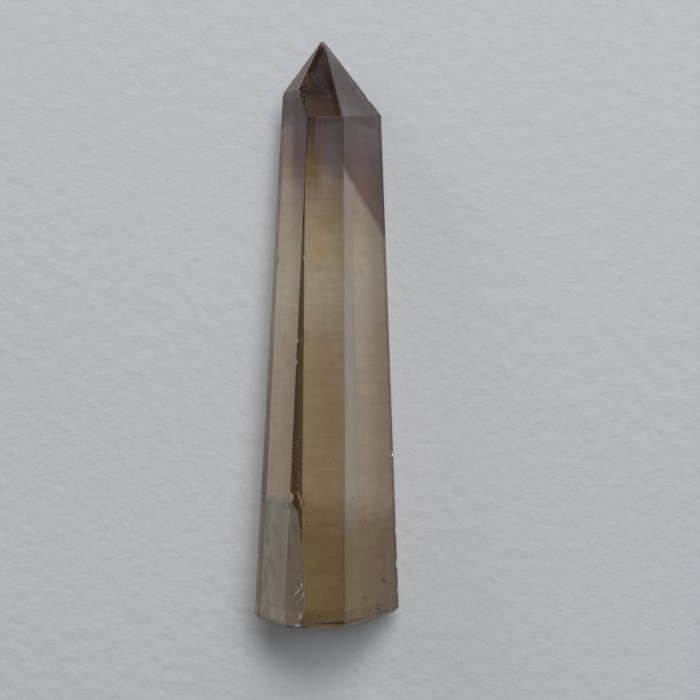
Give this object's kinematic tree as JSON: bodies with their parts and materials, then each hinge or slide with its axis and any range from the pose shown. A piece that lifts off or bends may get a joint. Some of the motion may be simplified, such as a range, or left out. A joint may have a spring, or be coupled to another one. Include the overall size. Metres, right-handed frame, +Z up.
{
  "type": "citrine crystal point",
  "caption": "Clear honey-brown quartz point: a polished, tapering six-sided prism lying on one long face, closed by a six-sided tip at one end and a flat saw cut at the other.",
  "frame": {"origin": "on the surface that the crystal lies on, under the middle of its box", "axes": "+Y along the crystal towards its tip, +Z up, +X to the right seen from above with the tip pointing away"},
  "size_m": [0.0201, 0.0818, 0.0195],
  "materials": {
    "citrine": "polished, see-through, smoky brown at the tip"
  },
  "bodies": {
    "root": {"crystal_point": "citrine"}
  },
  "joints": []
}
